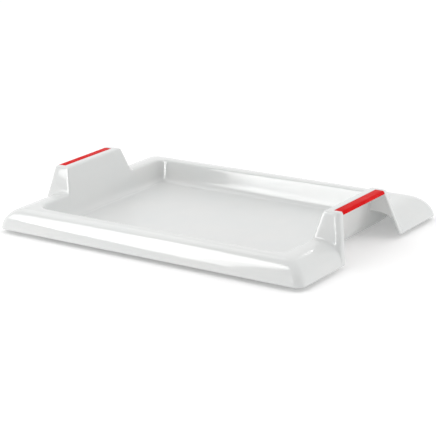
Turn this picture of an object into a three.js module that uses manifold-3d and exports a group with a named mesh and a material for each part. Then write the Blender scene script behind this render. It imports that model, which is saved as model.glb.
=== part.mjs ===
// A serving tray moulded in one piece from glossy white plastic, with a red grip strip let into
// the top edge of each of its two raised handles.
//
// Frame, in millimetres: the origin is at the middle of the base, on the face that stands on the
// table. X runs along the long side, Y along the short side, and Z up.

import * as THREE from 'three';
import { mergeVertices } from 'three/addons/utils/BufferGeometryUtils.js';
import Module from 'manifold-3d';

const wasm = await Module();
wasm.setup();

// ---- Driving dimensions ----

const LENGTH = 460;
const WIDTH = 310;
const WALL = 2.5; // thickness of the moulding
const GAP = 0.3; // clearance between the moulding and a strip

// The well: the sunk floor with its sloping walls.
const FLOOR_TOP = WALL;
const RIM_Z = 31; // height of the rim's crest
const WELL_LENGTH = 373; // between the walls, at the height of the rim
const WELL_WIDTH = 248.4;
const WELL_CORNER = 16; // plan radius of the well's corners, at the height of the rim
const DRAFT = THREE.MathUtils.degToRad(15); // lean of the walls from vertical
const FLOOR_FILLET = 8;
const EDGE_FILLET = 3; // rounding where a wall turns over into the rim or a handle's top

// The apron: the rim's wide outer side, which rolls over and down to the lower edge.
const LIP_Z = 5; // height of the lower edge above the table
const LAND_X = 198; // half-length and half-width of the rim's nearly flat top
const LAND_Y = 133;
const ROLL_DROP = 29; // upright half-axis of the elliptical roll
const LAND_CORNER = 8; // plan radii of the corners, at the top and at the lower edge
const LIP_CORNER = 12;
const HOLLOW_DROP = 2.5; // how far the cut of the hollow starts below the lower edge

// The handles: a tapered box on each short side.
const HANDLE_TOP = 63;
const FOOT_HALF = 70.9; // half the handle's length, at the height of the lower edge
const SIDE_LEAN = 0.287; // how far a side face leans in for each millimetre of height
const FRONT_LEAN = 0.21; // the same for the outward face
const FRONT_CORNER = 5; // rounding between the outward face and the side faces
const BACK_CORNER = 0.5; // rounding at the other end, inside the well's space
const TOP_ROUND = 2.5; // rounding around the handle's top
const HOLLOW_ROUND = 1.5; // rounding around the top of the handle's hollow

// The finger arch in each handle's outward face.
const PLATE = 4; // thickness of the handle's top, over the fingers
const ARCH_FOOT_HALF = 63.2; // half the arch's width, at the height of the lower edge
const ARCH_LEAN = 0.3;
const ARCH_CORNER = 0.8;

// The grip strips, and the pegs that hold each one to its handle.
const STRIP_INNER_X = 205.6;
const STRIP_LENGTH = 93.4;
const STRIP_DEPTH = 2;
const SKIRT_X = 215.5; // from here outwards a strip reaches down over the handle's edge
const PEG_RADIUS = 1.9;
const PEG_PITCH = 36;
const PEG_X = 211.5;

const CORNER_STEPS = 8; // facets in a quarter turn
const ROLL_STEPS = 9;
const FILLET_STEPS = 4;
const PEG_SIDES = 16;
const CLEAR = 20; // how far a cutting body runs past what it cuts

// ---- Solids ----

// A level ring of points, anticlockwise from above: a rectangle with rounded corners. The two
// corners on its +X side have the radius outer, and the two on its -X side have the radius inner.
function ring(xMin, xMax, yHalf, outer, inner, z) {
  const corners = [
    { x: xMax - outer, y: yHalf - outer, radius: outer },
    { x: xMin + inner, y: yHalf - inner, radius: inner },
    { x: xMin + inner, y: inner - yHalf, radius: inner },
    { x: xMax - outer, y: outer - yHalf, radius: outer },
  ];
  const points = [];
  corners.forEach(({ x, y, radius }, quarter) => {
    for (let step = 0; step <= CORNER_STEPS; step += 1) {
      const angle = (quarter + step / CORNER_STEPS) * (Math.PI / 2);
      points.push(new THREE.Vector3(x + radius * Math.cos(angle), y + radius * Math.sin(angle), z));
    }
  });
  return points;
}

// A ring that is centred on the tray, with four equal corners.
function centredRing(xHalf, yHalf, radius, z) {
  return ring(-xHalf, xHalf, yHalf, radius, radius, z);
}

// The closed body through a stack of rings, lowest first, with a flat face at each end.
function loft(rings) {
  const count = rings[0].length;
  const points = rings.flat();
  const index = [];
  for (let level = 0; level < rings.length - 1; level += 1) {
    for (let k = 0; k < count; k += 1) {
      const a = level * count + k;
      const b = level * count + ((k + 1) % count);
      index.push(a, b, b + count, a, b + count, a + count);
    }
  }
  const last = (rings.length - 1) * count;
  for (let k = 1; k < count - 1; k += 1) {
    index.push(0, k + 1, k);
    index.push(last, last + k, last + k + 1);
  }
  const geometry = new THREE.BufferGeometry().setFromPoints(points);
  geometry.setIndex(index);
  return geometry;
}

function toSolid(source) {
  const geometry = source.clone();
  geometry.deleteAttribute('normal');
  geometry.deleteAttribute('uv');
  const merged = mergeVertices(geometry, 1e-4);
  const vertProperties = new Float32Array(merged.attributes.position.array);
  const triVerts = new Uint32Array(merged.index.array);
  return new wasm.Manifold(new wasm.Mesh({ numProp: 3, vertProperties, triVerts }));
}

function toGeometry(solid) {
  const mesh = solid.getMesh();
  const geometry = new THREE.BufferGeometry();
  geometry.setAttribute('position', new THREE.BufferAttribute(mesh.vertProperties, 3));
  geometry.setIndex(new THREE.BufferAttribute(mesh.triVerts, 1));
  geometry.computeVertexNormals();
  return geometry;
}

// ---- The apron ----

// The apron's body, shrunk by inset on every side. Its section is a quarter of an ellipse, from
// the lower edge up to the crest.
function apron(inset, startZ) {
  const centreZ = RIM_Z - ROLL_DROP;
  const lipAngle = Math.asin((LIP_Z - centreZ) / ROLL_DROP);
  const rollX = (LENGTH / 2 - LAND_X) / Math.cos(lipAngle) - inset;
  const rollY = (WIDTH / 2 - LAND_Y) / Math.cos(lipAngle) - inset;
  const rollZ = ROLL_DROP - inset;
  const startAngle = Math.asin((startZ - centreZ) / rollZ);
  const rings = [];
  for (let step = 0; step <= ROLL_STEPS; step += 1) {
    const angle = THREE.MathUtils.lerp(startAngle, Math.PI / 2, step / ROLL_STEPS);
    const out = Math.cos(angle);
    const radius = THREE.MathUtils.lerp(LAND_CORNER, LIP_CORNER - inset, out);
    rings.push(centredRing(LAND_X + rollX * out, LAND_Y + rollY * out, radius,
      centreZ + rollZ * Math.sin(angle)));
  }
  return toSolid(loft(rings));
}

// ---- The well ----

// A level ring of the well's wall at a distance out from the wall's line at the rim's height.
function wellRing(out, z) {
  return centredRing(WELL_LENGTH / 2 + out, WELL_WIDTH / 2 + out, WELL_CORNER + out, z);
}

function wallOut(z) {
  return (z - RIM_Z) * Math.tan(DRAFT);
}

// The rings of the rounding from the floor into the wall, grown outwards by inset.
function floorRings(inset) {
  const tangentZ = FLOOR_TOP + FLOOR_FILLET * (1 - Math.sin(DRAFT));
  const centreOut = wallOut(tangentZ) - FLOOR_FILLET * Math.cos(DRAFT);
  const rings = [];
  for (let step = 0; step <= FILLET_STEPS; step += 1) {
    const angle = (Math.PI / 2 - DRAFT) * (step / FILLET_STEPS);
    const radius = FLOOR_FILLET + inset;
    rings.push(wellRing(centreOut + radius * Math.sin(angle),
      FLOOR_TOP + FLOOR_FILLET - radius * Math.cos(angle)));
  }
  return rings;
}

// The rings that turn the wall over into a level top at topZ.
function turnoverRings(topZ) {
  const tangentZ = topZ - EDGE_FILLET * (1 - Math.sin(DRAFT));
  const centreOut = wallOut(tangentZ) + EDGE_FILLET * Math.cos(DRAFT);
  const rings = [];
  for (let step = 0; step <= FILLET_STEPS; step += 1) {
    const angle = THREE.MathUtils.lerp(DRAFT, Math.PI / 2, step / FILLET_STEPS);
    rings.push(wellRing(centreOut - EDGE_FILLET * Math.cos(angle),
      topZ - EDGE_FILLET * (1 - Math.sin(angle))));
  }
  rings.push(wellRing(centreOut, topZ + CLEAR));
  return rings;
}

// The open space of the well, with its turned-over edge at topZ.
function wellSpace(topZ) {
  return toSolid(loft([...floorRings(0), ...turnoverRings(topZ)]));
}

// The well with its walls' thickness, as a full body up to topZ.
function wellBody(topZ) {
  const out = wallOut(topZ) + WALL / Math.cos(DRAFT);
  return toSolid(loft([...floorRings(WALL), wellRing(out, topZ)]));
}

// ---- The handles ----

// A handle's body on the +X side, shrunk by inset on its side and outward faces.
function handle(inset, bottomZ, topZ, round) {
  const innerX = WELL_LENGTH / 2 - CLEAR;
  const level = (z, tuck) => {
    const outerX = LENGTH / 2 - FRONT_LEAN * (z - LIP_Z) - inset - tuck;
    const yHalf = FOOT_HALF - SIDE_LEAN * (z - LIP_Z) - inset - tuck;
    return ring(innerX, outerX, yHalf, FRONT_CORNER - inset, BACK_CORNER, z);
  };
  const rings = [level(bottomZ, 0)];
  for (let step = 0; step <= FILLET_STEPS; step += 1) {
    const angle = (Math.PI / 2) * (step / FILLET_STEPS);
    rings.push(level(topZ - round * (1 - Math.sin(angle)), round * (1 - Math.cos(angle))));
  }
  return toSolid(loft(rings));
}

// The cut of the finger arch through the outward face, open at the bottom.
function fingerArch() {
  const topZ = HANDLE_TOP - PLATE;
  const halfAt = (z) => ARCH_FOOT_HALF - ARCH_LEAN * (z - LIP_Z);
  const shape = new THREE.Shape();
  shape.moveTo(-halfAt(-CLEAR), -CLEAR);
  shape.lineTo(halfAt(-CLEAR), -CLEAR);
  shape.lineTo(halfAt(topZ - ARCH_CORNER), topZ - ARCH_CORNER);
  shape.quadraticCurveTo(halfAt(topZ), topZ, halfAt(topZ) - ARCH_CORNER, topZ);
  shape.lineTo(ARCH_CORNER - halfAt(topZ), topZ);
  shape.quadraticCurveTo(-halfAt(topZ), topZ, -halfAt(topZ - ARCH_CORNER), topZ - ARCH_CORNER);
  const geometry = new THREE.ExtrudeGeometry(shape, {
    depth: CLEAR * 2,
    bevelEnabled: false,
    curveSegments: FILLET_STEPS,
  });
  // The shape's X and Y become the tray's Y and Z, and the extrusion runs out along X.
  geometry.rotateX(Math.PI / 2);
  geometry.rotateZ(Math.PI / 2);
  geometry.translate(STRIP_INNER_X - EDGE_FILLET, 0, 0);
  return toSolid(geometry);
}

// ---- The grip strips ----

// A block as long as a strip, running outwards and upwards from innerX and bottomZ.
function stripBlock(clearance, innerX, bottomZ) {
  const block = new THREE.BoxGeometry(CLEAR * 2, STRIP_LENGTH - 2 * clearance, CLEAR);
  block.translate(innerX + clearance + CLEAR, 0, bottomZ + CLEAR / 2);
  return toSolid(block);
}

// The space for a strip, shrunk by clearance: a slab on the handle's top, and a skirt down
// over its outer edge to skirtZ.
function stripSpace(clearance, skirtZ) {
  const slabZ = HANDLE_TOP - STRIP_DEPTH + clearance;
  return join([
    stripBlock(clearance, STRIP_INNER_X, slabZ),
    stripBlock(clearance, SKIRT_X, skirtZ),
  ]);
}

// Three upright pegs, from bottomZ to topZ.
function pegs(radius, bottomZ, topZ) {
  const height = topZ - bottomZ;
  return [-1, 0, 1].map((place) => {
    const peg = new THREE.CylinderGeometry(radius, radius, height, PEG_SIDES);
    peg.rotateX(Math.PI / 2);
    peg.translate(PEG_X, place * PEG_PITCH, bottomZ + height / 2);
    return toSolid(peg);
  });
}

// ---- The pieces ----

// The same body on the -X side: turned half round about Z.
function otherSide(solid) {
  const half = new THREE.Matrix4().makeRotationZ(Math.PI);
  return toSolid(toGeometry(solid).applyMatrix4(half));
}

function bothSides(solid) {
  return [solid, otherSide(solid)];
}

function join(solids) {
  return solids.reduce((whole, solid) => whole.add(solid));
}

const outerHandle = handle(0, LIP_Z, HANDLE_TOP, TOP_ROUND);
const handles = join(bothSides(outerHandle));

function trayShell() {
  const outside = join([apron(0, LIP_Z), wellBody(RIM_Z - EDGE_FILLET), handles]);
  const rimEdge = wellSpace(RIM_Z).subtract(handles);
  const handleHollow = handle(WALL, LIP_Z - CLEAR, HANDLE_TOP - PLATE, HOLLOW_ROUND);
  const underside = join([apron(WALL, LIP_Z - HOLLOW_DROP), ...bothSides(handleHollow)])
    .subtract(wellBody(HANDLE_TOP));
  const cuts = join([
    ...bothSides(fingerArch()),
    ...bothSides(stripSpace(0, HANDLE_TOP - PLATE - GAP)),
    ...pegs(PEG_RADIUS + GAP, HANDLE_TOP - CLEAR, HANDLE_TOP).flatMap(bothSides),
  ]);
  return outside
    .subtract(wellSpace(HANDLE_TOP))
    .subtract(rimEdge)
    .subtract(underside)
    .subtract(cuts);
}

// A strip fills its space out to the handle's own outer form.
function gripStrip() {
  const strip = outerHandle.intersect(stripSpace(GAP, HANDLE_TOP - PLATE));
  const seatZ = HANDLE_TOP - STRIP_DEPTH + GAP;
  return join([strip, ...pegs(PEG_RADIUS, HANDLE_TOP - PLATE, seatZ + GAP)]);
}

// ---- Materials and nodes ----

const WHITE_PLASTIC = new THREE.MeshStandardMaterial({
  color: 0xeceeec,
  roughness: 0.15,
  metalness: 0,
});
const RED_GRIP = new THREE.MeshStandardMaterial({
  color: 0xd8161c,
  roughness: 0.4,
  metalness: 0,
});

function node(name, solid, material) {
  const mesh = new THREE.Mesh(toGeometry(solid), material);
  mesh.name = name;
  return mesh;
}

const group = new THREE.Group();
const rightStrip = gripStrip();
group.add(
  node('tray_shell', trayShell(), WHITE_PLASTIC),
  node('right_grip', rightStrip, RED_GRIP),
  node('left_grip', otherSide(rightStrip), RED_GRIP),
);

export default group;
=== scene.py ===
"""Looks of the serving tray: a glossy white moulding with two red grip strips.

The moulding's outer face is the zero level of a distance-like function, outer_face(). It joins
the well, the rolled rim and the handles with rounded edges. A net of points is laid over the
tray with its lines close together where an edge is rounded, and then pulled onto that face.
The tray's sizes are in millimetres until a mesh is made. The stage's are in metres.
"""
import math

import bmesh
import bpy
import numpy as np
from mathutils import Matrix, Vector


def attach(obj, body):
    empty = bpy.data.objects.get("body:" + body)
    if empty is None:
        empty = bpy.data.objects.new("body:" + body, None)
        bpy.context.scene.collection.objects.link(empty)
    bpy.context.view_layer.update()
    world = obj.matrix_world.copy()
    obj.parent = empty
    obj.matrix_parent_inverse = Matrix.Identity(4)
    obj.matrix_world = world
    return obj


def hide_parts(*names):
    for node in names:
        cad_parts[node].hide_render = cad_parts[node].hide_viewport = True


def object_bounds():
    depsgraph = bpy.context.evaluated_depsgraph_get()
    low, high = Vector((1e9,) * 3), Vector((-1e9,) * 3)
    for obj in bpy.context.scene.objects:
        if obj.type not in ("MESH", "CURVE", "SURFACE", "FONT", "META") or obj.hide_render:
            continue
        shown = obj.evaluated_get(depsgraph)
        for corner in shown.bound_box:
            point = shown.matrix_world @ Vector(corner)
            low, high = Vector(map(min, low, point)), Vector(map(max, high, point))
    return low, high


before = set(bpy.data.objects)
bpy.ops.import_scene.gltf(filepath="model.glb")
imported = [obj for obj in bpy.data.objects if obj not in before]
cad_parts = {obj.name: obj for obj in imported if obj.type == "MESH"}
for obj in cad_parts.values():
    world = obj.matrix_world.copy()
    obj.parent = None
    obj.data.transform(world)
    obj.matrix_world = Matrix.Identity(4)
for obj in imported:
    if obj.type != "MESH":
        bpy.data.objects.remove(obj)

MM = 0.001
cad_low, cad_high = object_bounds()

# ---- Sizes of the moulding ----

HALF_LENGTH = cad_high.x / MM
HALF_WIDTH = cad_high.y / MM
HANDLE_TOP = cad_high.z / MM
WALL = 2.5
PLATE = 4.0            # thickness of a handle's top
PLATE_FOOT = 57.0      # height where the wall starts to thicken towards it
PLATE_RISE = 5.0       # height over which the wall thickens
FLOOR = WALL           # height of the well's floor
RIM = 31.0             # height of the rim
LIP = 5.0              # height of the apron's lower edge
DRAFT = math.radians(15)
WELL_HALF_X = 186.5    # the well's half sizes and corner, at the height of the rim
WELL_HALF_Y = 124.2
WELL_CORNER = 16.0
LAND_X = 198.0         # half sizes of the rim's level top, where the apron starts to roll
LAND_Y = 133.0
LAND_CORNER = 8.0
LIP_CORNER = 12.0
ROLL_DROP = 29.0       # the roll is the upper part of a quarter ellipse this high
ROLL_BASE = RIM - ROLL_DROP
LIP_COS = math.sqrt(1 - ((LIP - ROLL_BASE) / ROLL_DROP) ** 2)
ROLL_X = (HALF_LENGTH - LAND_X) / LIP_COS
ROLL_Y = (HALF_WIDTH - LAND_Y) / LIP_COS
FOOT_HALF = 70.9       # half length of a handle, at the height of the lower edge
SIDE_LEAN = 0.287      # how far a face leans in for each millimetre of height
FRONT_LEAN = 0.21
ARCH_HALF = 63.2       # half length of the finger opening, at the height of the lower edge
ARCH_LEAN = 0.3
ARCH_TOP = HANDLE_TOP - PLATE

# Radii of the rounded edges.
FLOOR_ROUND = 8.0
EDGE_ROUND = 3.0
TOP_ROUND = 2.5
FRONT_ROUND = 5.0
JOINT_ROUND = 3.0      # where a handle rises out of the rim
JOINT_FADE = 18.0      # height over which that radius grows from its least share
JOINT_LEAST = 0.02

# The grip strips: each sits in a rebate, and reaches down over the handle's outer edge.
STRIP_INNER = 205.6    # the rebate's inner side
STRIP_HALF = 46.7      # half the rebate's length
STRIP_DEPTH = 2.0
SKIRT_INNER = 215.5    # inner side of the part that reaches down
SKIRT_PAST = 0.5       # how far the rebate runs on below the handle's top plate
STRIP_BEVEL = 0.45
BEVEL_STEPS = 3
BEVEL_ANGLE = math.radians(35)
ARC_STEPS = 8          # steps in the rounding of a strip's outer edge
GAP = 0.25
PEG_X = 211.5
PEG_PLACES = (-36.0, 0.0, 36.0)
PEG_RADIUS = 1.9
PIN_SIDES = 40
HOLE_PAST = 2.0        # how far a cutting body runs past what it cuts
REBATE_PAST = 5.0
CREASE = math.radians(34)        # edges sharper than this stay crisp

# ---- The outer face as a function ----

PULL_STEPS = 12
SLOPE_STEP = 0.02


def round_both(a, b, radius):
    """Where both distances are inside: the edge between them is rounded."""
    corner = np.hypot(np.maximum(radius + a, 0), np.maximum(radius + b, 0))
    return np.minimum(-radius, np.maximum(a, b)) + corner


def round_either(a, b, radius):
    """Where either distance is inside: the crease between them is filled."""
    corner = np.hypot(np.maximum(radius - a, 0), np.maximum(radius - b, 0))
    return np.maximum(radius, np.minimum(a, b)) - corner


def wall_out(z):
    """How far the well's wall lies out from its place at the rim, less than 0 below it."""
    return (z - RIM) * math.tan(DRAFT)


def front_x(z):
    return HALF_LENGTH - FRONT_LEAN * (z - LIP)


def side_y(z):
    return FOOT_HALF - SIDE_LEAN * (z - LIP)


def arch_y(z):
    return ARCH_HALF - ARCH_LEAN * (z - LIP)


def well(x, y, z):
    """Distance from the well's open space, negative inside it."""
    qx = x - (WELL_HALF_X - WELL_CORNER)
    qy = y - (WELL_HALF_Y - WELL_CORNER)
    plan = np.hypot(np.maximum(qx, 0), np.maximum(qy, 0)) + np.minimum(np.maximum(qx, qy), 0)
    wall = (plan - WELL_CORNER - wall_out(z)) * math.cos(DRAFT)
    return round_both(wall, FLOOR - z, FLOOR_ROUND)


def apron(x, y, z):
    """Distance from the body under the rolled rim. Its level sections are rounded rectangles."""
    grow = LIP_CORNER - LAND_CORNER
    ax, ay = ROLL_X - grow, ROLL_Y - grow
    dx = x - (LAND_X - LAND_CORNER)
    dy = y - (LAND_Y - LAND_CORNER)
    a = ax * ax + ay * ay - grow * grow
    b = ax * dx + ay * dy + grow * LAND_CORNER
    c = dx * dx + dy * dy - LAND_CORNER ** 2
    in_corner = (b - np.sqrt(np.maximum(b * b - a * c, 0))) / a
    straight = np.maximum((x - LAND_X) / ROLL_X, (y - LAND_Y) / ROLL_Y)
    is_corner = (dx > ax * in_corner) & (dy > ay * in_corner) & (c > 0)
    share = np.maximum(np.where(is_corner, in_corner, straight), 0)
    return (np.hypot(share, (z - ROLL_BASE) / ROLL_DROP) - 1) * ROLL_DROP


def handle(x, y, z):
    front = (x - front_x(z)) / math.hypot(1, FRONT_LEAN)
    side = (y - side_y(z)) / math.hypot(1, SIDE_LEAN)
    return round_both(z - HANDLE_TOP, round_both(front, side, FRONT_ROUND), TOP_ROUND)


def outer_face(p):
    """Less than 0 within the moulding, taken as solid, and 0 on its outer face."""
    x, y, z = np.abs(p[..., 0]), np.abs(p[..., 1]), p[..., 2]
    joint = JOINT_ROUND * np.clip((z - LIP) / JOINT_FADE, JOINT_LEAST, 1)
    body = round_either(apron(x, y, z), handle(x, y, z), joint)
    return round_both(-well(x, y, z), body, EDGE_ROUND)


def slope(p):
    """The function's gradient, which points out of the moulding."""
    parts = []
    for axis in np.eye(3) * SLOPE_STEP:
        parts.append((outer_face(p + axis) - outer_face(p - axis)) / (2 * SLOPE_STEP))
    return np.stack(parts, -1)


def pull_to_face(p):
    """The points, moved onto the outer face by Newton's steps along the slope."""
    for _ in range(PULL_STEPS):
        g = slope(p)
        p = p - g * (outer_face(p) / np.maximum((g * g).sum(-1), 1e-6))[..., None]
    return p


# ---- The net of points over a quarter of the tray ----

# Rows run round the tray, and are counted from the floor outwards. A line runs out across the
# rows, from the floor to the lower edge.

# Distances of rows from an edge.
EDGE_STEPS = (3.3, 2.1, 1.0)     # from the edge between the wall and a level top
FLOOR_STEPS = (3.5, 6.5, 10)     # from the edge between the floor and the wall
FLOOR_INNER = 26                 # the same, for the innermost row
TOP_STEPS = (TOP_ROUND, 1.5, 0)  # from a handle's outer top edge
FRONT_STEP = 1.4                 # the same, on the outward face
LIP_STEP = 0.8                   # from the lower edge, and from the opening's top edge
LAND_STEP = 3.2                  # from the outermost of EDGE_STEPS, on the rim's level top

# Heights of the rows on the flat of the wall, and of a handle's outward face.
WALL_HEIGHTS = (18, 24.5)
FRONT_HEIGHTS = (52, 39, 23)
ROLL_ROWS = 9
LEAST_CORNER = 4                 # least corner radius of a row

# Places of the lines, from the middle of a handle to the middle of a long side.
PLATE_LINES = (0.0, 14.0, 27.0, 37.0, 42.5, 45.0)    # y, over the finger opening
OPENING_EDGE = -8.0              # the line that follows the finger opening's end
SIDE_EDGE = -1e-6                # the line along the top of the handle's side face
INNER_LINES = (OPENING_EDGE, -7.0, -5.0, -3.0, -1.4, SIDE_EDGE)     # less than 0: in from there
FACE_LINES = (                   # share of the side face, and distances from its top and foot
    (1, 1.5, 0),
    (1, 3.8, 0),
    (0.5, 0, 0),
    (0, 0, 3.2),
    (0, 0, 1.4),
    (0, 0, 0),
)
FACE_LENGTH = 16                 # a side face shorter than this has its lines closer together
OUTER_LINES = (1.4, 3.2, 6.0, 12.0, 22.0)            # distances past the side face, on the rim
CORNER_LINES = 9
LONG_LINES = (155.0, 128.0, 88.0, 44.0, 0.0)         # x, along the long side
OPEN_LINES = len(PLATE_LINES)    # lines before the opening's edge

# The upright outer edge of a handle has a larger rounding, so lines stand further apart there.
INNER_WIDE = 1.35
INNER_WIDE_FROM = -6             # lines further in than this keep their place
FACE_WIDE = 1.7
LIP_TUCK = 1.2                   # keeps the face's lines apart at its foot, where it has no height


def level_ring(half_x, half_y, radius, z):
    return {"half_x": half_x, "half_y": half_y, "radius": radius, "z": z}


def well_ring(out, z):
    return level_ring(WELL_HALF_X + out, WELL_HALF_Y + out, max(WELL_CORNER + out, LEAST_CORNER), z)


def floor_and_wall_rows():
    """Net rows from the floor, over its rounding and up the wall."""
    foot = wall_out(FLOOR)
    rows = [well_ring(foot - d, FLOOR) for d in (FLOOR_INNER, *reversed(FLOOR_STEPS), 0)]
    for d in FLOOR_STEPS:
        z = FLOOR + d * math.cos(DRAFT)
        rows.append(well_ring(wall_out(z), z))
    return rows + [well_ring(wall_out(z), z) for z in WALL_HEIGHTS]


def turnover_rows(top):
    """Net rows over the edge between the wall and a level top."""
    rows = []
    for d in EDGE_STEPS:
        z = top - d * math.cos(DRAFT)
        rows.append(well_ring(wall_out(z), z))
    rows.append(well_ring(wall_out(top), top))
    rows += [well_ring(wall_out(top) + d, top) for d in reversed(EDGE_STEPS)]
    return rows


def apron_rows():
    """Net rows over the rim's level top and down the roll to the lip."""
    rows = [well_ring(EDGE_STEPS[0] + LAND_STEP, RIM)]
    start = math.asin((LIP - ROLL_BASE) / ROLL_DROP)
    for k in range(ROLL_ROWS):
        angle = math.pi / 2 + (start - math.pi / 2) * k / ROLL_ROWS
        rows.append(roll_ring(ROLL_BASE + ROLL_DROP * math.sin(angle)))
    return rows + [roll_ring(LIP + LIP_STEP), roll_ring(LIP)]


def roll_ring(z):
    share = math.sqrt(max(1 - ((z - ROLL_BASE) / ROLL_DROP) ** 2, 0))
    radius = LAND_CORNER + (LIP_CORNER - LAND_CORNER) * share
    return level_ring(LAND_X + ROLL_X * share, LAND_Y + ROLL_Y * share, radius, z)


def handle_rows():
    """The same rows where they cross a handle, as (x, z): its top, and down its outward face."""
    outer = front_x(HANDLE_TOP)
    first = WELL_HALF_X + wall_out(HANDLE_TOP) + EDGE_STEPS[0]
    rows = [((first + outer) / 2, HANDLE_TOP)]
    rows += [(outer - d, HANDLE_TOP) for d in TOP_STEPS]
    down = (HANDLE_TOP - FRONT_STEP, ARCH_TOP + LIP_STEP, ARCH_TOP, *FRONT_HEIGHTS,
            LIP + LIP_STEP, LIP)
    return rows + [(front_x(z), z) for z in down]


BASE_ROWS = floor_and_wall_rows()
RIM_ROWS = BASE_ROWS + turnover_rows(RIM) + apron_rows()
TOP_ROWS = [(r["half_x"], r["z"]) for r in BASE_ROWS + turnover_rows(HANDLE_TOP)] + handle_rows()
WALL_ROWS = len(BASE_ROWS) + len(EDGE_STEPS)    # rows on the floor and the wall
FRONT_ROW = len(TOP_ROWS) - 9                   # a handle's outer top edge
ARCH_ROW = len(TOP_ROWS) - 6                    # the opening's top edge
LIP_ROW = len(TOP_ROWS) - 2                     # the first row of the lower edge


def wall_tuck(row):
    """How far a net line on the wall keeps from the handle's upright inner edge."""
    step = row - len(BASE_ROWS)
    return EDGE_STEPS[step] if 0 <= step < len(EDGE_STEPS) else 0.0


def on_handle(row, reach):
    """A point of the handle's own net. reach is a fixed y, or less than 0 for a distance in
    from the leaning side face."""
    x, z = TOP_ROWS[row]
    if reach >= 0:
        return (x, reach, z)
    level = HANDLE_TOP if row < WALL_ROWS else z
    if reach == OPENING_EDGE:
        return (x, arch_y(level), z)
    wide = INNER_WIDE if row >= FRONT_ROW and INNER_WIDE_FROM < reach else 1
    tuck = wall_tuck(row) * (1 - reach / OPENING_EDGE)
    return (x, side_y(level) + reach * wide - tuck, z)


def on_rim(row, beyond):
    """A point of the rim's net at a distance past the handle's side face."""
    ring = RIM_ROWS[row]
    level = RIM if row < WALL_ROWS else ring["z"]
    tuck = 0 if beyond else wall_tuck(row)
    return (ring["half_x"], side_y(level) + beyond - tuck, ring["z"])


def on_side_face(row, share, from_top, from_foot):
    """A point on the handle's side face, between its foot and its top edge."""
    foot = np.array(on_rim(row, 0.0))
    top = np.array(on_handle(row, SIDE_EDGE))
    if row >= LIP_ROW:
        foot[1] += LIP_TUCK
        top[1] -= LIP_TUCK
    length = np.linalg.norm(top - foot)
    near = min(1, length / FACE_LENGTH)
    wide = FACE_WIDE if row >= FRONT_ROW else 1
    along = length * share + from_foot * near - from_top * near * wide
    return tuple(foot + (top - foot) * along / length)


def quarter_net():
    """Points [line][row] from the middle of a handle round to the middle of a long side."""
    rows = range(len(RIM_ROWS))
    net = []
    for reach in PLATE_LINES + INNER_LINES:
        net.append([on_handle(row, reach) for row in rows])
    for line in FACE_LINES:
        net.append([on_side_face(row, *line) for row in rows])
    for beyond in OUTER_LINES:
        net.append([on_rim(row, beyond) for row in rows])
    for k in range(CORNER_LINES):
        angle = math.pi / 2 * k / (CORNER_LINES - 1)
        net.append([(r["half_x"] - r["radius"] * (1 - math.cos(angle)),
                     r["half_y"] - r["radius"] * (1 - math.sin(angle)), r["z"])
                    for r in RIM_ROWS])
    for x in LONG_LINES:
        net.append([(x, r["half_y"], r["z"]) for r in RIM_ROWS])
    return pull_to_face(np.array(net, float))


def whole_net():
    """The quarter, mirrored round the tray, and for each line its place in the quarter."""
    quarter = quarter_net()
    last = len(quarter) - 1
    lines, places = [], []
    for sx, sy, order in (
        (1, 1, range(0, last)),
        (-1, 1, range(last, 0, -1)),
        (-1, -1, range(0, last)),
        (1, -1, range(last, 0, -1)),
    ):
        for k in order:
            lines.append(quarter[k] * (sx, sy, 1))
            places.append(k)
    return np.array(lines), places


# ---- The moulding's mesh ----


def thickness(z):
    """The wall's thickness: the handles' tops are thicker than the rest."""
    return WALL + (PLATE - WALL) * np.clip((z - PLATE_FOOT) / PLATE_RISE, 0, 1)


def closed_shell():
    """Vertices and faces of the moulding: the outer face, the inner face, and the edges."""
    outer, places = whole_net()
    lines, rows = outer.shape[:2]
    normal = slope(outer)
    normal /= np.linalg.norm(normal, axis=-1, keepdims=True)
    inner = outer - normal * thickness(outer[..., 2])[..., None]
    inner[:, -1, 2] = LIP
    points = np.concatenate([outer.reshape(-1, 3), inner.reshape(-1, 3)])
    under = lines * rows
    middle_of_floor = tuple(line * rows for line in range(lines))
    faces = [middle_of_floor]
    for line in range(lines):
        after = (line + 1) % lines
        in_opening = max(places[line], places[after]) <= OPEN_LINES
        for row in range(rows - 1):
            if in_opening and row >= ARCH_ROW:
                continue
            faces.append((line * rows + row, line * rows + row + 1,
                          after * rows + row + 1, after * rows + row))
    # The faces' directed edges, in order. A border edge has no opposite one.
    edges = dict.fromkeys(edge for face in faces for edge in zip(face, face[1:] + face[:1]))
    border = [(a, b) for a, b in edges if (b, a) not in edges]
    inside = [tuple(v + under for v in reversed(face)) for face in faces]
    sides = [(b, a, a + under, b + under) for a, b in border]
    return points, faces + inside + sides


def mesh_object(name, points, faces):
    """A mesh object from points in millimetres, without the points that no face uses."""
    mesh = bpy.data.meshes.new(name)
    mesh.from_pydata([tuple(p) for p in np.asarray(points) * MM], [], faces)
    bm = bmesh.new()
    bm.from_mesh(mesh)
    loose = [v for v in bm.verts if not v.link_faces]
    bmesh.ops.delete(bm, geom=loose, context="VERTS")
    bmesh.ops.recalc_face_normals(bm, faces=bm.faces)
    bm.to_mesh(mesh)
    bm.free()
    obj = bpy.data.objects.new(name, mesh)
    bpy.context.scene.collection.objects.link(obj)
    return obj


def apply_modifiers(obj):
    graph = bpy.context.evaluated_depsgraph_get()
    made = bpy.data.meshes.new_from_object(obj.evaluated_get(graph))
    old = obj.data
    obj.modifiers.clear()
    obj.data = made
    bpy.data.meshes.remove(old)


def smooth(obj, levels):
    modifier = obj.modifiers.new("smooth", "SUBSURF")
    modifier.levels = levels
    modifier.render_levels = levels
    apply_modifiers(obj)


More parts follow.
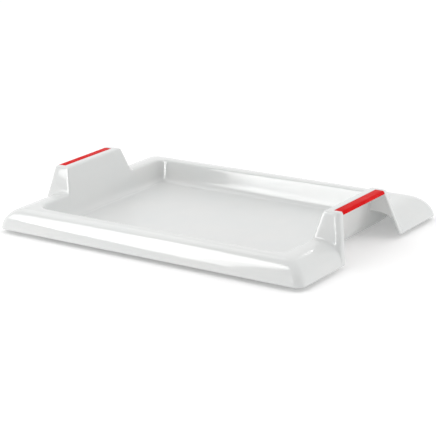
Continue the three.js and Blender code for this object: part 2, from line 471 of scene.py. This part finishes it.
def shade(obj, angle):
    """Smooth shading, with the edges sharper than angle kept crisp."""
    bm = bmesh.new()
    bm.from_mesh(obj.data)
    for face in bm.faces:
        face.smooth = True
    for edge in bm.edges:
        edge.smooth = len(edge.link_faces) == 2 and edge.calc_face_angle() < angle
    bm.to_mesh(obj.data)
    bm.free()


def between(first, second):
    """The closed body between two outlines of equally many points."""
    count = len(first)
    faces = [tuple(range(count)), tuple(range(2 * count - 1, count - 1, -1))]
    for k in range(count):
        after = (k + 1) % count
        faces.append((k, k + count, after + count, after))
    return first + second, faces


def prism(outline, low_y, high_y):
    """An outline in x and z, drawn out along y."""
    return between([(x, low_y, z) for x, z in outline], [(x, high_y, z) for x, z in outline])


def pin(side, place, radius, low_z, high_z):
    """Points and faces of an upright pin through the plate."""
    angles = [2 * math.pi * k / PIN_SIDES for k in range(PIN_SIDES)]
    ring = [(side * PEG_X + radius * math.cos(a), place + radius * math.sin(a)) for a in angles]
    return between([(x, y, low_z) for x, y in ring], [(x, y, high_z) for x, y in ring])


def combine(obj, bodies, operation):
    """Cut closed bodies from a piece, or join them on. Bodies are (points, faces) pairs."""
    points, faces = [], []
    for body_points, body_faces in bodies:
        faces += [tuple(v + len(points) for v in face) for face in body_faces]
        points += body_points
    tool = mesh_object("tool", points, faces)
    modifier = obj.modifiers.new("combine", "BOOLEAN")
    modifier.operation = operation
    modifier.solver = "EXACT"
    modifier.object = tool
    apply_modifiers(obj)
    mesh = tool.data
    bpy.data.objects.remove(tool)
    bpy.data.meshes.remove(mesh)


def rebate_outline(side):
    """The strip's space in x and z: a slab over the top, and down over the outer edge."""
    far, high = HALF_LENGTH, HANDLE_TOP + REBATE_PAST
    seat, foot = HANDLE_TOP - STRIP_DEPTH, ARCH_TOP - SKIRT_PAST
    outline = [(STRIP_INNER, seat), (SKIRT_INNER, seat), (SKIRT_INNER, foot),
               (far, foot), (far, high), (STRIP_INNER, high)]
    return [(side * x, z) for x, z in outline]


def make_shell():
    shell = mesh_object("moulded_tray", *closed_shell())
    smooth(shell, 1)
    sides = (1, -1)
    rebates = [prism(rebate_outline(side), -STRIP_HALF, STRIP_HALF) for side in sides]
    combine(shell, rebates, "DIFFERENCE")
    holes = [pin(side, place, PEG_RADIUS + GAP, ARCH_TOP - HOLE_PAST, HANDLE_TOP)
             for side in sides for place in PEG_PLACES]
    combine(shell, holes, "DIFFERENCE")
    shade(shell, CREASE)
    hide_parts("tray_shell")
    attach(shell, "root")
    return shell


def strip_outline(side):
    """A strip's section in x and z, with the handle's own rounding on its outer edge."""
    seat = HANDLE_TOP - STRIP_DEPTH + GAP
    inner, skirt = STRIP_INNER + GAP, SKIRT_INNER + GAP
    slant = math.hypot(1, FRONT_LEAN)
    lean = math.atan(FRONT_LEAN)
    centre_z = HANDLE_TOP - TOP_ROUND
    centre_x = front_x(centre_z) - TOP_ROUND * slant
    outline = [(inner, seat), (skirt, seat), (skirt, ARCH_TOP), (front_x(ARCH_TOP), ARCH_TOP)]
    for k in range(ARC_STEPS + 1):
        angle = lean + (math.pi / 2 - lean) * k / ARC_STEPS
        outline.append((centre_x + TOP_ROUND * math.cos(angle),
                        centre_z + TOP_ROUND * math.sin(angle)))
    outline.append((inner, HANDLE_TOP))
    return [(side * x, z) for x, z in outline]


def bevel(obj, width, segments, angle):
    modifier = obj.modifiers.new("bevel", "BEVEL")
    modifier.width = width * MM
    modifier.segments = segments
    modifier.limit_method = "ANGLE"
    modifier.angle_limit = angle
    apply_modifiers(obj)


def make_strip(name, node, side):
    half = STRIP_HALF - GAP
    strip = mesh_object(name, *prism(strip_outline(side), -half, half))
    bevel(strip, STRIP_BEVEL, BEVEL_STEPS, BEVEL_ANGLE)
    seat = HANDLE_TOP - STRIP_DEPTH + 2 * GAP
    combine(strip, [pin(side, place, PEG_RADIUS, ARCH_TOP, seat) for place in PEG_PLACES],
            "UNION")
    shade(strip, CREASE)
    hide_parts(node)
    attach(strip, "root")
    return strip


# ---- Materials ----

WHITE_COOL = (0.745, 0.76, 0.755)
WHITE_WARM = (0.77, 0.775, 0.765)
ETCHED = 0.22          # how much rougher the well's floor is
ETCHED_FROM = 3.0      # heights between which that fades out
ETCHED_TO = 6.0
RED_DEEP = (0.68, 0.006, 0.008)
RED_BRIGHT = (0.78, 0.012, 0.012)
BOARD_DIM = (0.93, 0.93, 0.93)
BOARD_PALE = (0.96, 0.96, 0.96)
FLOOR_GLOW = 0.17


def dress(obj, material):
    obj.data.materials.clear()
    obj.data.materials.append(material)


def new_material(name):
    """A material, its node tree and its shader."""
    material = bpy.data.materials.new(name)
    material.use_nodes = True
    tree = material.node_tree
    return material, tree, tree.nodes["Principled BSDF"]


def noise(tree, size, detail, stretch=(1, 1, 1)):
    """A noise texture whose features are about size millimetres across."""
    place = tree.nodes.new("ShaderNodeTexCoord")
    scale = tree.nodes.new("ShaderNodeMapping")
    scale.inputs["Scale"].default_value = stretch
    texture = tree.nodes.new("ShaderNodeTexNoise")
    texture.inputs["Scale"].default_value = 1 / (size * MM)
    texture.inputs["Detail"].default_value = detail
    tree.links.new(place.outputs["Object"], scale.inputs["Vector"])
    tree.links.new(scale.outputs["Vector"], texture.inputs["Vector"])
    return texture.outputs["Fac"]


def spread(tree, value, low, high, start=0.3, end=0.7):
    """The value's range from start to end, spread from low to high."""
    node = tree.nodes.new("ShaderNodeMapRange")
    node.inputs["From Min"].default_value = start
    node.inputs["From Max"].default_value = end
    node.inputs["To Min"].default_value = low
    node.inputs["To Max"].default_value = high
    tree.links.new(value, node.inputs["Value"])
    return node.outputs["Result"]


def mixed_colour(tree, value, first, second):
    node = tree.nodes.new("ShaderNodeMix")
    node.data_type = "RGBA"
    node.inputs["A"].default_value = (*first, 1)
    node.inputs["B"].default_value = (*second, 1)
    tree.links.new(value, node.inputs["Factor"])
    return node.outputs["Result"]


def height_above_base(tree):
    place = tree.nodes.new("ShaderNodeTexCoord")
    parts = tree.nodes.new("ShaderNodeSeparateXYZ")
    tree.links.new(place.outputs["Object"], parts.inputs[0])
    return parts.outputs["Z"]


def computed(tree, operation, first, second):
    """The result of one arithmetic step on two values."""
    node = tree.nodes.new("ShaderNodeMath")
    node.operation = operation
    tree.links.new(first, node.inputs[0])
    tree.links.new(second, node.inputs[1])
    return node.outputs[0]


def bumps(tree, shader, layers):
    """Surface relief from (texture, height in millimetres) layers, one over another."""
    below = None
    for texture, height in layers:
        node = tree.nodes.new("ShaderNodeBump")
        node.inputs["Strength"].default_value = 1.0
        node.inputs["Distance"].default_value = height * MM
        tree.links.new(texture, node.inputs["Height"])
        if below:
            tree.links.new(below, node.inputs["Normal"])
        below = node.outputs["Normal"]
    tree.links.new(below, shader.inputs["Normal"])


def white_plastic():
    """Glossy moulded plastic: slight waves from moulding, haze, and fine scuffs from use. The
    well's floor and the base below it are duller, from a finely etched mould."""
    material, tree, shader = new_material("glossy white plastic")
    cloud = spread(tree, noise(tree, 60, 3), 0, 1)
    colour = mixed_colour(tree, cloud, WHITE_COOL, WHITE_WARM)
    tree.links.new(colour, shader.inputs["Base Color"])
    haze = spread(tree, noise(tree, 25, 5), 0.07, 0.13)
    scuffs = spread(tree, noise(tree, 0.7, 2, (0.04, 1, 1)), 0, 0.10, 0.66, 0.74)
    etched = spread(tree, height_above_base(tree), ETCHED, 0,
                    ETCHED_FROM * MM, ETCHED_TO * MM)
    worn = computed(tree, "ADD", haze, scuffs)
    roughness = computed(tree, "ADD", worn, etched)
    tree.links.new(roughness, shader.inputs["Roughness"])
    shader.inputs["IOR"].default_value = 1.58
    waves = noise(tree, 45, 1)
    skin = noise(tree, 1.2, 3)
    bumps(tree, shader, [(waves, 0.06), (skin, 0.003)])
    return material


def red_grip():
    """Soft-touch plastic: satin, with a fine moulded grain and a little dulling by fingers."""
    material, tree, shader = new_material("red soft grip")
    cloud = spread(tree, noise(tree, 14, 4), 0, 1)
    colour = mixed_colour(tree, cloud, RED_DEEP, RED_BRIGHT)
    tree.links.new(colour, shader.inputs["Base Color"])
    worn = spread(tree, noise(tree, 20, 4), 0.42, 0.56)
    tree.links.new(worn, shader.inputs["Roughness"])
    shader.inputs["IOR"].default_value = 1.5
    shader.inputs["Specular IOR Level"].default_value = 0.04
    bumps(tree, shader, [(noise(tree, 7, 2), 0.05), (noise(tree, 0.5, 2), 0.02)])
    return material


def floor_material():
    """Matt pale board, lit a little from within like a light table."""
    material, tree, shader = new_material("pale floor")
    colour = mixed_colour(tree, noise(tree, 400, 2), BOARD_DIM, BOARD_PALE)
    tree.links.new(colour, shader.inputs["Base Color"])
    shader.inputs["Roughness"].default_value = 0.9
    shader.inputs["Specular IOR Level"].default_value = 0.1
    shader.inputs["Emission Color"].default_value = (1, 1, 1, 1)
    shader.inputs["Emission Strength"].default_value = FLOOR_GLOW
    return material


# ---- Stage, lights and camera ----

# Strength of the light from the walls, from by the camera, and overhead.
WORLD_SIDE = 1.12
WORLD_FRONT = 0.5
WORLD_TOP = 0.92
FRONT_BAND = (0.38, 0.54)        # share towards the camera over which the walls dim
TOP_BAND = (0.25, 0.85)          # share upwards over which the ceiling dims

# Lights as seen from the tray: degrees, with the azimuth from +Y towards +X, and metres.
KEY = {"azimuth": -150, "elevation": 18, "distance": 0.7, "size": (0.5, 0.36), "radiance": 0.9}
FILL = {"azimuth": 72, "elevation": 16, "distance": 1.2, "size": (0.3, 0.3), "radiance": 3}
EDGE_LIGHT = {"azimuth": -170, "elevation": 17, "distance": 1.0, "size": (0.06, 0.32),
              "radiance": 9}
SPARK = {"azimuth": -8, "elevation": 37, "distance": 1.5, "size": (0.18, 0.04), "radiance": 11}
SKY = {"azimuth": -66, "elevation": 45, "distance": 2.0, "size": (1.3, 0.9), "radiance": 0.8}
LIGHT_AIM = (0, 0, 0.02)

# Two upright bright cards close to the tray, at the front left. They lie in one plane, a small
# one within a large one, so that the brightness falls off towards the ends and the top. Ends are
# along the cards, and grow towards the camera's side.
CARD_AZIMUTH = -144
CARD_DISTANCE = 0.365
CARD_LOW = 0.082
CARDS = (
    {"ends": (-0.10, 0.15), "high": 0.50, "radiance": 5.5},
    {"ends": (-0.16, 0.20), "high": 0.62, "radiance": 4.0},
)

FLOOR_HALF = 12
FLOOR_DROP = 0.0003              # keeps the floor clear of the tray's flat base

# The camera looks at the tray's middle, at the height of its lower edge, shifted a little.
CAMERA_AZIMUTH = math.radians(36.996)
CAMERA_ELEVATION = math.radians(17.681)
CAMERA_ROLL = math.radians(-2.756)
CAMERA_LENS = 132.44
CAMERA_DISTANCE = 2.0199
CAMERA_RIGHT = 0.0023
CAMERA_UP = 0.0040
CAMERA_SIGHT = 60                # the furthest that it sees


def make_floor():
    mesh = bpy.data.meshes.new("floor")
    corners = [(x * FLOOR_HALF, y * FLOOR_HALF, -FLOOR_DROP)
               for x, y in ((-1, -1), (1, -1), (1, 1), (-1, 1))]
    mesh.from_pydata(corners, [], [(0, 1, 2, 3)])
    floor = bpy.data.objects.new("floor", mesh)
    bpy.context.scene.collection.objects.link(floor)
    floor.data.materials.append(floor_material())


def dot_with(tree, vector, fixed):
    node = tree.nodes.new("ShaderNodeVectorMath")
    node.operation = "DOT_PRODUCT"
    node.inputs[1].default_value = fixed
    tree.links.new(vector, node.inputs[0])
    return node.outputs["Value"]


def studio_world():
    """Light from all round: bright walls, a slightly dimmer ceiling, and a dim side by the
    camera."""
    world = bpy.data.worlds.new("studio")
    world.use_nodes = True
    tree = world.node_tree
    direction = tree.nodes.new("ShaderNodeTexCoord").outputs["Generated"]
    a = CAMERA_AZIMUTH
    side = dot_with(tree, direction, (math.sin(a), -math.cos(a), 0))
    walls = spread(tree, side, WORLD_SIDE, WORLD_FRONT, *FRONT_BAND)
    up = dot_with(tree, direction, (0, 0, 1))
    ceiling = spread(tree, up, 1, WORLD_TOP, *TOP_BAND)
    background = tree.nodes["Background"]
    background.inputs["Color"].default_value = (1, 1, 1, 1)
    strength = computed(tree, "MULTIPLY", walls, ceiling)
    tree.links.new(strength, background.inputs["Strength"])
    bpy.context.scene.world = world


def direction_to(azimuth, elevation):
    """A unit vector, with the azimuth from +Y towards +X."""
    a, e = math.radians(azimuth), math.radians(elevation)
    return Vector((math.sin(a) * math.cos(e), math.cos(a) * math.cos(e), math.sin(e)))


def panel(name, place, target, size, radiance, shines_on):
    """An area light whose power follows from its size and radiance. It shows either in glossy
    reflections or in matt shading."""
    light = bpy.data.lights.new(name, "AREA")
    light.shape = "RECTANGLE"
    light.size, light.size_y = size
    light.energy = radiance * size[0] * size[1] * math.pi
    obj = bpy.data.objects.new(name, light)
    obj.location = place
    obj.rotation_mode = "QUATERNION"
    aim = Vector(target) - Vector(place)
    obj.rotation_quaternion = aim.to_track_quat("-Z", "Y")
    obj.visible_camera = False
    obj.visible_glossy = shines_on == "gloss"
    obj.visible_diffuse = shines_on == "matt"
    bpy.context.scene.collection.objects.link(obj)


def softbox(name, shines_on, azimuth, elevation, distance, size, radiance):
    place = direction_to(azimuth, elevation) * distance
    panel(name, place, LIGHT_AIM, size, radiance, shines_on)


def make_cards():
    away = direction_to(CARD_AZIMUTH, 0)
    along = Vector((-away.y, away.x, 0))
    for card in CARDS:
        start, end = card["ends"]
        middle = along * (start + end) / 2 + Vector((0, 0, (CARD_LOW + card["high"]) / 2))
        place = away * CARD_DISTANCE + middle
        size = (end - start, card["high"] - CARD_LOW)
        panel("card", place, place - away, size, card["radiance"], "gloss")


def make_light():
    studio_world()
    softbox("key", "matt", **KEY)
    softbox("fill", "matt", **FILL)
    softbox("edge light", "gloss", **EDGE_LIGHT)
    softbox("spark", "gloss", **SPARK)
    softbox("sky", "gloss", **SKY)
    make_cards()


def make_camera():
    a, e, roll = CAMERA_AZIMUTH, CAMERA_ELEVATION, CAMERA_ROLL
    back = Vector((math.sin(a) * math.cos(e), -math.cos(a) * math.cos(e), math.sin(e)))
    level = Vector((math.cos(a), math.sin(a), 0))
    upright = back.cross(level)
    right = level * math.cos(roll) + upright * math.sin(roll)
    up = upright * math.cos(roll) - level * math.sin(roll)
    turn = Matrix((right, up, back)).transposed().to_4x4()
    data = bpy.data.cameras.new("camera")
    data.lens = CAMERA_LENS
    data.clip_end = CAMERA_SIGHT
    camera = bpy.data.objects.new("camera", data)
    aim = Vector((0, 0, LIP * MM)) + right * CAMERA_RIGHT + up * CAMERA_UP
    camera.matrix_world = Matrix.Translation(aim + back * CAMERA_DISTANCE) @ turn
    bpy.context.scene.collection.objects.link(camera)
    bpy.context.scene.camera = camera


bpy.context.scene.view_settings.view_transform = "Standard"

shell = make_shell()
strips = [make_strip("right_strip", "right_grip", 1), make_strip("left_strip", "left_grip", -1)]
dress(shell, white_plastic())
for strip in strips:
    dress(strip, red_grip())
make_floor()
make_light()
make_camera()
